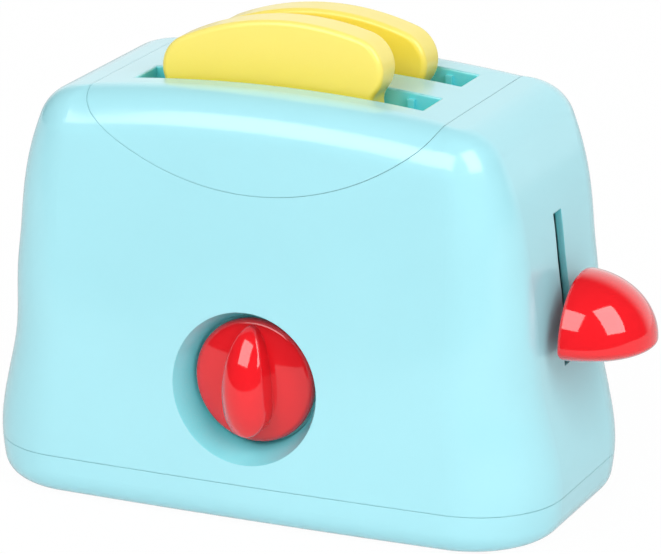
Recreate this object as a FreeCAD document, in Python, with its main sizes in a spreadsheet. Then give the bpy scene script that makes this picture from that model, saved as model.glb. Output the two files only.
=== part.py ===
import FreeCAD, Part
import math
import os
import re

import Sketcher
from FreeCAD import Placement, Rotation, Vector

# Toy pop-up toaster. Millimetres, +Z up, +X towards the lever, -Y towards the dial.
# The origin is the centre of the flat underside that the toaster stands on.

SIZES = [
    # housing form
    ("shell_height", 135.0, "height of the housing at the crown"),
    ("top_half_length", 75.4, "half length of the housing sides, carried up to the crown"),
    ("length_taper", 0.074, "half length gained per mm down"),
    ("swell", 7.0, "outward bow of the end walls at mid height"),
    ("flare", 8.1, "outward flare of the end walls at the foot"),
    ("flare_top", 54.8, "height where the flare begins"),
    ("flare_bottom", 11.7, "height where the flare is full"),
    ("top_half_depth", 43.2, "half depth of the housing sides, carried up to the crown"),
    ("depth_taper", 0.059, "half depth gained per mm down"),
    ("shoulder", 5.6, "half length lost again at the crown"),
    ("shoulder_start", 102.0, "height where that loss begins"),
    ("side_bow", 2.1, "outward bow of the front and back walls in plan, at the foot"),
    ("top_corner", 14.4, "plan corner radius at the crown"),
    ("corner_taper", 0.119, "plan corner radius gained per mm down"),
    ("top_round", 14.8, "rounding between the top and the sides"),
    ("foot_round", 7.7, "rounding between the sides and the underside"),
    ("top_ease", 0.78, "rounding under the top that is lost per mm of wall"),
    ("crown_radius", 470.0, "radius of the crowned top, across the length"),
    ("wall", 2.3, "wall of every turquoise moulding"),
    # splits of the housing
    ("parting_height", 13.4, "height of the joint between shell and base tray"),
    ("parting_gap", 0.1, "groove at that joint"),
    ("seam_half_length", 61.3, "half length of the top panel"),
    ("seam_radius", 87.0, "radius of the panel's curved lower edge"),
    ("seam_low", 105.6, "height of the lowest point of that edge"),
    ("seam_corner", 20.0, "radius that leads that edge into the panel's straight sides"),
    ("seam_gap", 0.1, "groove between panel and shell"),
    ("ledge_width", 2.0, "width of the ledge that carries the panel's edge"),
    ("lip_height", 3.0, "how far the base tray's lip rises into the shell"),
    ("lip_wall", 1.8, "thickness of the lip and of the ledge"),
    ("band_height", 5.0, "height of the band that ties the lip to the tray"),
    ("fit_gap", 0.15, "clearance of parts that slip into each other"),
    # bread slots
    ("slot_half_length", 48.2, "half length of a bread slot"),
    ("slot_width", 15.0, "width of a bread slot"),
    ("slot_centre", 15.4, "distance of each slot's centre line from the middle"),
    ("slot_edge", 0.7, "rounding of the slot's rim"),
    ("well_floor", 113.0, "height of the lower end of the slot walls"),
    ("well_wall", 2.0, "thickness of the slot walls"),
    ("guide_rib_at", 38.6, "distance of the guide ribs from the middle"),
    ("guide_rib_width", 2.3, "width of a guide rib"),
    ("guide_rib_depth", 1.2, "how far a guide rib stands into the slot"),
    ("guide_rib_drop", 3.7, "how far below the crown the guide ribs end"),
    # lever slot
    ("lever_slot_low", 50.3, "lower end of the lever slot"),
    ("lever_slot_high", 98.6, "upper end of the lever slot"),
    ("lever_slot_width", 6.6, "width of the lever slot"),
    # dial and its recess
    ("dial_height", 44.9, "height of the dial's axis"),
    ("dial_radius", 20.0, "radius of the dial's disc"),
    ("dial_rim", 2.6, "thickness of the disc at its rim"),
    ("dial_dome", 2.0, "rise of the disc's face at its centre"),
    ("dial_gap", 0.5, "space behind the disc"),
    ("recess_radius", 24.3, "radius of the recess at the face"),
    ("recess_floor_radius", 20.5, "radius of the recess at its floor"),
    ("recess_depth", 10.3, "depth of the recess"),
    ("shaft_radius", 4.0, "radius of the dial's shaft in its bearing"),
    ("spindle_radius", 3.0, "radius of the shaft's thin end"),
    ("running_gap", 0.05, "radial running clearance of shafts and guides"),
    ("bearing_length", 4.0, "length of the bearing behind the recess floor"),
    ("bearing_wall", 4.0, "wall of that bearing"),
    ("shaft_shoulder", 0.2, "how far the thick shaft stands past its bearing"),
    ("shaft_tap", 9.0, "depth of the screw hole in the shaft"),
    ("dial_edge", 2.0, "rounding of the disc's rim"),
    ("grip_half_width", 7.3, "half width of the grip at its widest level"),
    ("grip_middle", -6.7, "height of that level, from the dial axis"),
    ("grip_rise", 25.1, "grip: from that level up to its top end"),
    ("grip_drop", 9.7, "grip: from that level down to its foot end"),
    ("grip_reach", 11.7, "how far the grip stands out from the disc's rim"),
    ("grip_arch", 26.0, "radius of the grip's front, seen from the side"),
    ("grip_arch_at", -1.6, "height of the grip's foremost level, from the dial axis"),
    ("grip_crown", 8.8, "radius of the grip's front, seen from above"),
    ("grip_edge", 1.2, "rounding of the grip's front edge"),
    ("hub_radius", 4.6, "radius of the cam's hub"),
    ("lobe_radius", 8.0, "reach of the release lobe"),
    ("lobe_width", 5.0, "width of the release lobe"),
    ("lobe_length", 4.0, "length of the release lobe along the axis"),
    ("lug_radius", 9.0, "reach of the stop lug"),
    ("lug_width", 4.0, "width of the stop lug"),
    ("lug_length", 3.0, "length of the stop lug along the axis"),
    ("stop_half_width", 4.6, "half width of the stop block"),
    ("stop_gap", 1.4, "space between the hub and the stop block"),
    ("stop_thickness", 4.0, "thickness of the stop block"),
    ("cam_length", 21.2, "distance from the bearing to the cam's far end"),
    ("cam_gap", 0.4, "space between the bearing and the cam"),
    # lift mechanism
    ("post_at", 53.0, "distance of each guide post from the middle"),
    ("post_radius", 2.5, "radius of a guide post"),
    ("socket_radius", 4.4, "radius of the sockets that hold the posts"),
    ("post_seat", 4.0, "length of post held in the upper socket"),
    ("post_end_gap", 0.5, "space above a post's upper end"),
    ("post_recess", 1.5, "how deep a post stands in the chassis plate"),
    ("post_tap", 9.0, "depth of the screw hole in a post"),
    ("bushing_radius", 5.0, "radius of a carriage bushing"),
    ("bushing_low", 50.0, "height of the bushings' lower ends, lever down"),
    ("tray_top", 70.3, "height of the tray floors, lever down"),
    ("tray_floor", 2.9, "thickness of a tray floor"),
    ("tray_half_length", 46.0, "half length of a tray"),
    ("tray_lip", 1.2, "thickness of a tray's side lips"),
    ("tray_lip_height", 4.0, "height of a tray's side lips"),
    ("seat_rise", 1.9, "height of the seat strip in the front tray"),
    ("seat_half_width", 3.0, "half width of the seat strip"),
    ("slice_gap", 0.3, "space between a slice and a tray's side lip"),
    ("beam_height", 6.0, "height of the beams that join the trays"),
    ("beam_width", 8.0, "width of those beams"),
    ("link_half_width", 5.0, "half width of the links between trays and end beams"),
    ("link_root", 8.0, "length of link under a tray"),
    ("catch_low", 50.0, "height of the catch's lower end, lever down"),
    ("catch_height", 3.0, "thickness of the catch"),
    ("catch_reach", 4.5, "reach of the catch from the middle"),
    ("catch_half_length", 2.0, "half length of the tongue that carries the catch"),
    ("catch_half_width", 2.5, "half width of tongue and catch"),
    ("lever_low", 57.5, "height of the lever arm's lower edge, lever down"),
    ("lever_high", 65.5, "height of the lever arm's upper edge, lever down"),
    ("lever_thickness", 3.6, "thickness of the lever arm"),
    ("lever_root", 60.5, "distance of the arm's inner end from the middle"),
    ("tip_depth", 11.0, "how far the lever arm reaches into the knob"),
    ("fork_length", 11.0, "length of the fork that holds the arm"),
    ("fork_wall", 2.2, "thickness of the fork's cheeks"),
    ("fork_floor", 1.5, "thickness of the fork below the arm"),
    ("pin_radius", 1.2, "radius of the pins through fork and arm"),
    ("pin_inset", 2.75, "distance of the inner pin from the arm's inner end"),
    ("pin_spacing", 5.2, "distance between the two pins"),
    ("spring_radius", 4.1, "mean radius of a lift spring"),
    ("spring_wire", 0.8, "wire diameter of a lift spring"),
    ("spring_turns", 6.0, "turns of a lift spring"),
    ("spring_gap", 0.2, "space at each end of a spring"),
    # lever knob
    ("knob_gap", 4.16, "space between the end wall and the knob's flat face"),
    ("knob_reach", 24.5, "how far the knob stands out from that face"),
    ("knob_half_width", 20.9, "half width of the knob"),
    ("knob_middle", 60.5, "height of the knob's widest level"),
    ("knob_rise", 20.6, "height of the dome above that level"),
    ("knob_drop", 6.4, "depth of the belly below that level"),
    ("knob_end_gap", 0.2, "space beyond the arm's tip in the knob"),
    # chassis
    ("chassis_top", 18.0, "height of the chassis plate's top"),
    ("chassis_plate", 3.0, "thickness of the chassis plate"),
    ("chassis_half_length", 69.0, "half length of the chassis plate"),
    ("chassis_half_depth", 31.0, "half depth of the chassis plate"),
    ("chassis_corner", 6.0, "corner radius of the chassis plate"),
    ("foot_boss_height", 6.0, "height of the lower post sockets"),
    ("standoff_x", 62.0, "chassis screws: distance along the length"),
    ("standoff_y", 24.0, "chassis screws: distance along the depth"),
    ("standoff_radius", 4.5, "radius of standoffs and screw bosses"),
    ("housing_screw_x", 74.1, "housing screws: distance along the length"),
    ("housing_screw_y", 35.4, "housing screws: distance along the depth"),
    ("housing_boss_top", 32.0, "upper end of the shell's screw bosses"),
    ("boss_cap", 2.0, "solid end of those bosses above the screw hole"),
    ("web_length", 16.0, "reach of the webs that tie those bosses to the corners"),
    ("screw_pocket", 4.0, "depth of the pockets in the underside"),
    # springs and leaves of the latch
    ("leaf_thickness", 0.8, "thickness of the steel leaves"),
    ("latch_face", 6.2, "distance of the latch finger from the middle"),
    ("latch_front", 12.0, "how far the latch finger reaches to the front"),
    ("latch_back", 3.0, "how far the latch finger reaches to the back"),
    ("leaf_foot", 11.8, "length of a leaf's foot"),
    ("leaf_rise", 5.0, "how far the leaves rise above the dial's axis"),
    ("leaf_screw_at", 7.1, "distance of a leaf's screws from its upright"),
    ("latch_screw_front", 8.0, "front screw of the latch finger, from the middle"),
    ("latch_screw_back", 1.0, "back screw of the latch finger, from the middle"),
    ("leaf_boss_radius", 3.2, "radius of the bosses under the leaf screws"),
    ("leaf_boss_height", 3.5, "height of those bosses"),
    ("hook_gap", 0.3, "space between the catch and the hook above it"),
    ("hook_overlap", 1.3, "how far the hook stands over the catch"),
    ("drag_centre", 21.0, "distance of the drag leaf from the middle, to the front"),
    ("drag_width", 6.0, "width of the drag leaf"),
    ("drag_gap", 0.1, "space between drag leaf and hub"),
    # screws
    ("screw_radius", 1.3, "radius of a screw's thread"),
    ("head_radius", 2.8, "radius of a screw's head"),
    ("head_height", 1.8, "height of a screw's head"),
    ("thread_gap", 0.05, "clearance round a thread"),
    ("pass_gap", 0.3, "clearance of a hole that a screw passes"),
    ("screw_bite", 6.0, "length of thread in a standoff or a post"),
    ("leaf_bite", 4.5, "length of a leaf screw's thread below the leaf"),
    ("dial_bite", 8.0, "length of the dial screw's thread in the shaft"),
    ("base_thread", 20.0, "length of a base screw's thread"),
    ("hole_spare", 1.0, "depth of a screw hole past the end of its screw"),
    ("cross_length", 3.4, "length of each slot of the cross in a screw's head"),
    ("cross_width", 0.8, "width of those slots"),
    ("cross_depth", 1.0, "depth of those slots"),
    # bread slices
    ("bread_height", 80.0, "height of a slice"),
    ("bread_thickness", 12.0, "thickness of a slice"),
    ("bread_half_width", 37.3, "half width of the slice's head"),
    ("bread_waist", 32.7, "half width of the slice below its head"),
    ("bread_top_radius", 85.5, "radius of the slice's top"),
    ("bread_shoulder", 10.8, "radius of the slice's shoulders"),
    ("bread_neck", 6.2, "radius of the hollow below the head"),
    ("bread_foot", 6.0, "radius of the slice's lower corners"),
    ("bread_edge", 1.8, "rounding of the slice's edges"),
    ("bread_rest", 0.3, "space under a slice"),
    ("front_bread_x", 3.0, "place of the front slice's foot along its slot"),
    ("rear_bread_x", 0.9, "place of the rear slice's foot along its slot"),
    ("front_bread_tilt", 5.4, "lean of the front slice in its slot, degrees"),
    ("rear_bread_tilt", 2.1, "lean of the rear slice in its slot, degrees"),
]

# The housing's plan sections are taken at these shares of its height.
SECTION_HEIGHTS = (0.0, 0.09, 0.163, 0.237, 0.311, 0.385, 0.46, 0.563, 0.68, 0.8, 0.904, 1.09)

# How far a cutting tool runs past the face that it leaves.
OVERSHOOT = 1.0

doc = FreeCAD.newDocument("ToyToaster")
sheet = doc.addObject("Spreadsheet::Sheet", "Sizes")
ALIASES = set()
NODES = []


def fill_sheet(sizes, first):
    """Write sizes to the sheet from a first row on: name, value, meaning."""
    for row, (alias, value, meaning) in enumerate(sizes, start=first):
        sheet.set("A%d" % row, alias)
        sheet.set("B%d" % row, str(value))
        sheet.set("C%d" % row, meaning)
        sheet.setAlias("B%d" % row, alias)
        ALIASES.add(alias)
    doc.recompute()


def size(alias):
    """Current value of one driving dimension."""
    return float(sheet.get(alias))


def bound(text):
    """Expression with every alias in it pointed at the sheet."""
    return re.sub(r"[a-z][a-z_]*", lambda m: "Sizes." + m.group(0) if m.group(0) in ALIASES else m.group(0),
                  str(text))


def place(item, x, y, z, rotation=None):
    """Put a primitive at three expressions."""
    if rotation is not None:
        item.Placement = Placement(Vector(), rotation)
    item.setExpression(".Placement.Base.x", bound(x))
    item.setExpression(".Placement.Base.y", bound(y))
    item.setExpression(".Placement.Base.z", bound(z))
    return item


def box(name, x0, x1, y0, y1, z0, z1):
    """Block between three pairs of expressions."""
    item = doc.addObject("Part::Box", name)
    item.setExpression("Length", bound("(%s) - (%s)" % (x1, x0)))
    item.setExpression("Width", bound("(%s) - (%s)" % (y1, y0)))
    item.setExpression("Height", bound("(%s) - (%s)" % (z1, z0)))
    return place(item, x0, y0, z0)


def rod(name, radius, length, x, y, z, rotation=None):
    """Cylinder that starts at a point and runs up, or along the turned axis."""
    item = doc.addObject("Part::Cylinder", name)
    item.setExpression("Radius", bound(radius))
    item.setExpression("Height", bound(length))
    return place(item, x, y, z, rotation)


def fuse(name, items):
    """Union of several items."""
    item = doc.addObject("Part::MultiFuse", name)
    item.Shapes = items
    return item


def cut(name, base, tools):
    """Base with one or more tools taken away."""
    item = doc.addObject("Part::Cut", name)
    item.Base = base
    item.Tool = tools[0] if len(tools) == 1 else fuse(name + "Tools", tools)
    return item


def node(item, label):
    """Mark an object as a finished sub-part."""
    item.Label = label
    NODES.append(item)
    return item


def solid_node(label, shape):
    """Finished sub-part whose shape was worked out by Part's own functions."""
    item = doc.addObject("Part::Feature", label.title().replace("_", ""))
    item.Shape = shape
    return node(item, label)


# Turns a rod that runs up into one that runs to the front.
TO_FRONT = Rotation(Vector(1, 0, 0), 90)


# ---------------------------------------------------------------- housing form


def following_sizes():
    """Places that follow from the driving sizes: name, value, meaning."""
    face = half_length(size("knob_middle")) + size("knob_gap")
    return [
        ("knob_face", face, "distance of the knob's flat face from the middle"),
        ("lever_tip", face + size("tip_depth"), "distance of the arm's outer end from the middle"),
    ]


def smooth_step(share):
    """Ease from 0 to 1."""
    share = min(max(share, 0.0), 1.0)
    return share * share * (3.0 - 2.0 * share)


def half_length(z):
    """Half length of the housing at a height."""
    high = size("shell_height")
    rise = z / high
    span = size("flare_top") - size("flare_bottom")
    flare = size("flare") * smooth_step((size("flare_top") - z) / span)
    bow = size("swell") * 4.0 * rise * (1.0 - rise)
    climb = max((z - size("shoulder_start")) / (high - size("shoulder_start")), 0.0)
    straight = size("top_half_length") + (high - z) * size("length_taper")
    return straight + max(bow, 0.0) + flare - size("shoulder") * climb * climb


def half_depth(z):
    """Half depth of the housing at a height."""
    return size("top_half_depth") + (size("shell_height") - z) * size("depth_taper")


def corner(z):
    """Plan corner radius of the housing at a height."""
    return size("top_corner") + (size("shell_height") - z) * size("corner_taper")


def section_wire(z, inset):
    """Plan section of the housing: bowed front and back, straight ends, round corners."""
    a = half_length(z) - inset
    b = half_depth(z) - inset
    c = corner(z) - inset
    bow = max(size("side_bow") * (1.0 - z / size("shell_height")), 0.02)
    side = half_length(z) ** 2 / (2.0 * bow) - inset
    centre = Vector(a - c, b - side + math.sqrt((side - c) ** 2 - (a - c) ** 2), z)
    lean = math.atan2(centre.y - b + side, centre.x)
    corners = []
    for sx, sy in ((1, 1), (-1, 1), (-1, -1), (1, -1)):
        points = [Vector(sx * (centre.x + c * math.cos(t)), sy * (centre.y + c * math.sin(t)), z)
                  for t in (0.0, lean / 2, lean)]
        corners.append(points if sx == sy else points[::-1])
    edges = []
    for index, points in enumerate(corners):
        after = corners[(index + 1) % 4][0]
        edges.append(Part.Arc(*points).toShape())
        if index % 2:
            edges.append(Part.LineSegment(points[2], after).toShape())
        else:
            edges.append(Part.Arc(points[2], Vector(0, b if index == 0 else -b, z), after).toShape())
    return Part.Wire(edges)


def form(inset, low):
    """Outer form of the housing, moved inwards by an inset, from a lower height up."""
    high = size("shell_height")
    wires = []
    for share in SECTION_HEIGHTS:
        z = low + share * (high - low)
        wires.append(section_wire(z, inset))
    body = Part.makeLoft(wires, True, False)
    radius = size("crown_radius")
    reach = 4.0 * size("top_half_depth")
    crown = Part.makeCylinder(radius, reach, Vector(0, reach / 2, high - inset - radius), Vector(0, -1, 0))
    body = body.common(crown).Solids[0]
    limit = min(v.Z for v in body.Vertexes)
    rim = [e for e in body.Edges if e.BoundBox.ZMin > high - inset - size("top_round")]
    body = body.makeFillet(size("top_round") - size("top_ease") * inset, rim).Solids[0]
    foot = [e for e in body.Edges if e.BoundBox.ZMax < limit + 0.01]
    return body.makeFillet(size("foot_round") - inset, foot).Solids[0]


def seam_prism(inset):
    """Region of the top panel, seen from the front and carried through the whole depth."""
    half = size("seam_half_length") - inset
    radius = size("seam_radius") - inset
    curl = size("seam_corner") - inset
    centre = size("seam_low") + size("seam_radius")
    curl_x = half - curl
    curl_z = centre - math.sqrt((radius - curl) ** 2 - curl_x * curl_x)
    meet = math.atan2(curl_z - centre, curl_x)
    roof = 2.0 * size("shell_height")
    front = -2.0 * size("top_half_depth")

    def corner_points(side):
        """Corner curve of one side, from the lower edge up to the straight side."""
        return [Vector(side * (curl_x + curl * math.cos(t)), front, curl_z + curl * math.sin(t))
                for t in (meet, meet / 2, 0.0)]

    left = corner_points(-1)
    right = corner_points(1)
    lower = Part.Arc(left[0], Vector(0, front, centre - radius), right[0]).toShape()
    corners = [Part.Arc(*points).toShape() for points in (left, right)]
    rim = [left[2], Vector(-half, front, roof), Vector(half, front, roof), right[2]]
    sides = [Part.LineSegment(rim[i], rim[i + 1]).toShape() for i in range(3)]
    outline = Part.Wire(Part.__sortEdges__([lower] + corners + sides))
    return Part.Face(outline).extrude(Vector(0, -2.0 * front, 0))


def slab(low, high):
    """Layer between two heights, wider than the housing."""
    reach = 4.0 * size("top_half_length")
    return Part.makeBox(2 * reach, 2 * reach, high - low, Vector(-reach, -reach, low))


def four(x, y):
    """Four corners of a rectangle centred on the origin."""
    return [(sx * x, sy * y) for sx in (-1, 1) for sy in (-1, 1)]


def joined(shape, more):
    """Union of a shape and a list."""
    return shape.fuse(more).removeSplitter()


def dial_cone(grow, back):
    """Cone of the dial's recess, widened by grow and ending back behind the face."""
    face = -half_depth(size("dial_height"))
    slope = (size("recess_radius") - size("recess_floor_radius")) / size("recess_depth")
    before = size("recess_depth")
    wide = size("recess_radius") + slope * before + grow
    length = before + back
    start = Vector(0, face - before, size("dial_height"))
    return Part.makeCone(wide, wide - slope * length, length, start, Vector(0, 1, 0))


def recess_floor():
    """Depth of the recess floor, measured from the middle of the toaster."""
    return size("recess_depth") - half_depth(size("dial_height"))


def along_y(radius, y0, y1):
    """Cylinder round the dial's axis between two depths."""
    return Part.makeCylinder(radius, y1 - y0, Vector(0, y0, size("dial_height")), Vector(0, 1, 0))


def build_main_shell(outer, inner):
    """Turquoise shell: walls, ledge for the panel, dial recess with bearing, screw bosses."""
    wall = size("wall")
    foot = size("parting_height") + size("parting_gap") / 2
    walls = outer.cut(inner).common(slab(foot, 2 * size("shell_height")))
    walls = walls.cut(seam_prism(-size("seam_gap") / 2))
    under = form(wall + size("lip_wall"), wall + size("lip_wall"))
    ledge = inner.cut(under).common(seam_prism(-size("ledge_width")))
    ledge = ledge.cut([seam_prism(size("ledge_width"))] + socket_rooms())
    floor = recess_floor()
    bearing_end = floor + wall + size("bearing_length")
    cup = dial_cone(wall, size("recess_depth") + wall).common(outer)
    bearing = along_y(size("shaft_radius") + size("bearing_wall"), floor, bearing_end)
    shell = joined(walls, [ledge, cup, bearing, stop_block(floor, bearing_end)] + shell_bosses(foot))
    low = size("lever_slot_low")
    half = size("lever_slot_width") / 2
    start = Vector(size("lever_root") + size("fork_length"), -half, low)
    slot = Part.makeBox(size("top_half_length"), 2 * half, size("lever_slot_high") - low, start)
    bore_radius = size("shaft_radius") + size("running_gap")
    bore = along_y(bore_radius, floor - OVERSHOOT, bearing_end + OVERSHOOT)
    hollow = dial_cone(0, size("recess_depth"))
    return shell.cut([slot, hollow, bore] + boss_holes(foot)).Solids[0]


def socket_rooms():
    """Rooms that the ledge leaves for the panel's post sockets."""
    return [Part.makeCylinder(size("socket_radius") + size("fit_gap"), 2 * size("shell_height"),
                              Vector(side * size("post_at"), 0, 0)) for side in (-1, 1)]


def stop_block(floor, bearing_end):
    """Block under the bearing that the cam's stop lug meets at both ends of the dial's turn."""
    half = size("stop_half_width")
    deep = bearing_end + size("cam_gap") + size("lug_length") - floor
    top = size("dial_height") - size("hub_radius") - size("stop_gap")
    thick = size("stop_thickness")
    return Part.makeBox(2 * half, deep, thick, Vector(-half, floor, top - thick))


def shell_bosses(foot):
    """Four bosses for the base screws, each tied to its corner of the shell by a web."""
    wall = size("wall")
    high = size("housing_boss_top")
    inside = form(wall / 2, wall / 2)
    web_low = size("parting_height") + size("lip_height") + OVERSHOOT
    pieces = []
    for x, y in four(size("housing_screw_x"), size("housing_screw_y")):
        pieces.append(Part.makeCylinder(size("standoff_radius"), high - foot, Vector(x, y, foot)))
        web = Part.makeBox(size("web_length"), wall, high - web_low, Vector(0, -wall / 2, 0))
        turn = math.degrees(math.atan2(math.copysign(1, y), math.copysign(1, x)))
        web.Placement = Placement(Vector(x, y, web_low), Rotation(Vector(0, 0, 1), turn))
        pieces.append(web)
    return [piece.common(inside) for piece in pieces]


def boss_holes(foot):
    """Screw holes of those bosses."""
    deep = size("housing_boss_top") - size("boss_cap") - foot
    return [Part.makeCylinder(size("screw_radius") + size("thread_gap"), deep, Vector(x, y, foot))
            for x, y in four(size("housing_screw_x"), size("housing_screw_y"))]


def build_top_panel(outer, inner):
    """Turquoise panel with the two bread slots, their walls, guide ribs and post sockets."""
    wall = size("wall")
    skin = outer.cut(inner).common(seam_prism(size("seam_gap") / 2))
    inside = form(wall / 2, wall / 2)
    low = size("well_floor")
    tall = 2 * size("shell_height") - low
    half = size("slot_half_length")
    wide = size("slot_width") / 2
    thick = size("well_wall")
    walls = []
    slots = []
    bores = []
    for side in (-1, 1):
        y = side * size("slot_centre")
        walls.append(Part.makeBox(2 * (half + thick), 2 * (wide + thick), tall,
                                  Vector(-half - thick, y - wide - thick, low)))
        slots.append(Part.makeBox(2 * half, 2 * wide, tall + OVERSHOOT,
                                  Vector(-half, y - wide, low - OVERSHOOT)))
        at = Vector(side * size("post_at"), 0, low)
        walls.append(Part.makeCylinder(size("socket_radius"), tall, at))
        bores.append(Part.makeCylinder(size("post_radius") + size("running_gap"),
                                       size("post_seat") + size("post_end_gap"), at))
    panel = joined(skin, [piece.common(inside) for piece in walls]).cut(slots)
    panel = panel.makeFillet(size("slot_edge"), slot_rims(panel))
    return joined(panel, guide_ribs()).cut(bores).Solids[0]


def slot_rims(panel):
    """Edges round the mouths of the bread slots."""
    rims = []
    for edge in panel.Edges:
        middle = edge.valueAt((edge.FirstParameter + edge.LastParameter) / 2)
        on_slot = abs(abs(middle.y) - size("slot_centre")) < size("slot_width") / 2 + size("fit_gap")
        within = abs(middle.x) < size("slot_half_length") + size("fit_gap")
        high = edge.BoundBox.ZMin > size("shell_height") - size("top_round") / 2
        if on_slot and within and high:
            rims.append(edge)
    return rims


def guide_ribs():
    """Two pairs of upright ribs in each slot, facing each other."""
    depth = size("guide_rib_depth")
    root = size("well_wall") / 4
    wide = size("slot_width") / 2
    low = size("well_floor")
    tall = size("shell_height") - size("guide_rib_drop") - low
    ribs = []
    for side, place_x in four(size("slot_centre"), size("guide_rib_at")):
        for start in (side - wide - root, side + wide - depth):
            corner_at = Vector(place_x - size("guide_rib_width") / 2, start, low)
            ribs.append(Part.makeBox(size("guide_rib_width"), depth + root, tall, corner_at))
    return ribs


def build_base_tray(outer):
    """Turquoise base: floor, rim with lip, standoffs for the chassis, sleeves for the screws."""
    wall = size("wall")
    top = size("parting_height") - size("parting_gap") / 2
    hollow = form(wall, wall)
    skin = outer.common(slab(-OVERSHOOT, top)).cut(hollow)
    near = wall + size("fit_gap")
    far = near + size("lip_wall")
    inside = form(far, wall)
    lip = form(near, near).cut(inside)
    lip = lip.common(slab(top - size("band_height"), size("parting_height") + size("lip_height")))
    band = hollow.cut(inside).common(slab(top - size("band_height"), top))
    plate_low = size("chassis_top") - size("chassis_plate")
    deep = size("screw_bite") + size("hole_spare")
    stands = []
    holes = []
    for x, y in four(size("standoff_x"), size("standoff_y")):
        stands.append(Part.makeCylinder(size("standoff_radius"), plate_low - wall / 2,
                                        Vector(x, y, wall / 2)))
        holes.append(Part.makeCylinder(size("screw_radius") + size("thread_gap"), deep + OVERSHOOT,
                                       Vector(x, y, plate_low - deep)))
    for x, y in four(size("housing_screw_x"), size("housing_screw_y")):
        sleeve = Part.makeCylinder(size("standoff_radius"), top, Vector(x, y, 0))
        stands.append(sleeve.common(outer))
        holes.append(Part.makeCylinder(size("screw_radius") + size("pass_gap"), 2 * top, Vector(x, y, 0)))
        pocket = size("screw_pocket") + size("head_height")
        holes.append(Part.makeCylinder(size("head_radius") + size("pass_gap"), pocket, Vector(x, y, 0)))
    return joined(skin, [lip, band] + stands).cut(holes).Solids[0]


def build_housing():
    """The three turquoise mouldings."""
    outer = form(0.0, 0.0)
    inner = form(size("wall"), size("wall"))
    solid_node("main_shell", build_main_shell(outer, inner))
    solid_node("top_panel", build_top_panel(outer, inner))
    solid_node("base_tray", build_base_tray(outer))


# ---------------------------------------------------------------- chassis and screws


def build_chassis():
    """Grey plate on the base tray's standoffs, with lower post sockets and leaf seats."""
    plate_low = "chassis_top - chassis_plate"
    plate = box("ChassisPlate", "-chassis_half_length", "chassis_half_length", "-chassis_half_depth",
                "chassis_half_depth", plate_low, "chassis_top")
    rounded = doc.addObject("Part::Fillet", "ChassisRounded")
    rounded.Base = plate
    doc.recompute()
    upright = [i for i, e in enumerate(plate.Shape.Edges, start=1)
               if abs(e.tangentAt(e.FirstParameter).z) > 0.9]
    rounded.Edges = [(i, size("chassis_corner"), size("chassis_corner")) for i in upright]
    solids = [rounded]
    holes = []
    for side, x in (("Left", "-post_at"), ("Right", "post_at")):
        solids.append(rod("ChassisSocket" + side, "bushing_radius", "foot_boss_height", x, 0, "chassis_top"))
        holes.append(rod("ChassisBore" + side, "post_radius + running_gap",
                         "foot_boss_height + post_recess + 1", x, 0, "chassis_top - post_recess"))
        holes.append(rod("ChassisPass" + side, "screw_radius + pass_gap", "chassis_plate", x, 0,
                         plate_low + " - 1"))
    for index, (sx, sy) in enumerate(four(1, 1)):
        holes.append(rod("ChassisHole%d" % index, "screw_radius + pass_gap", "chassis_plate + 2",
                         "%d * standoff_x" % sx, "%d * standoff_y" % sy, plate_low + " - 1"))
    for index, (x, y) in enumerate(leaf_screws()):
        solids.append(rod("LeafBoss%d" % index, "leaf_boss_radius", "leaf_boss_height", x, y,
                          plate_low + " - leaf_boss_height"))
        holes.append(rod("LeafHole%d" % index, "screw_radius + thread_gap", "leaf_bite + hole_spare + 1",
                         x, y, "chassis_top - leaf_bite - hole_spare"))
    node(cut("Chassis", fuse("ChassisSolid", solids), holes), "chassis")


def leaf_screws():
    """Places of the three screws that hold the steel leaves."""
    latch = "latch_face + leaf_screw_at"
    drag = "-(hub_radius + drag_gap + leaf_screw_at)"
    return [(latch, "-latch_screw_front"), (latch, "-latch_screw_back"), (drag, "-drag_centre")]


# Breadth and length of the two slots that form the cross in a screw's head.
CROSS_SLOTS = (("cross_length", "cross_width"), ("cross_width", "cross_length"))


def screw(name, x, y, seat, side, length):
    """Screw with a cross in its head; the head lies above its seat for side 1 and below it for -1."""
    head_low = seat if side > 0 else seat + " - head_height"
    thread_low = "%s - (%s)" % (seat, length) if side > 0 else seat
    head = rod(name + "Head", "head_radius", "head_height", x, y, head_low)
    thread = rod(name + "Thread", "screw_radius", length, x, y, thread_low)
    face = "%s + %d * head_height" % (seat, side)
    ends = [face + " - %d * cross_depth" % side, face + " + %d" % side][::side]
    cross = []
    for turn, (wide, deep) in enumerate(CROSS_SLOTS):
        cross.append(box("%sCross%d" % (name, turn), "%s - %s / 2" % (x, wide), "%s + %s / 2" % (x, wide),
                         "%s - %s / 2" % (y, deep), "%s + %s / 2" % (y, deep), *ends))
    return cut(name, fuse(name + "Blank", [head, thread]), cross)


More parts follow.
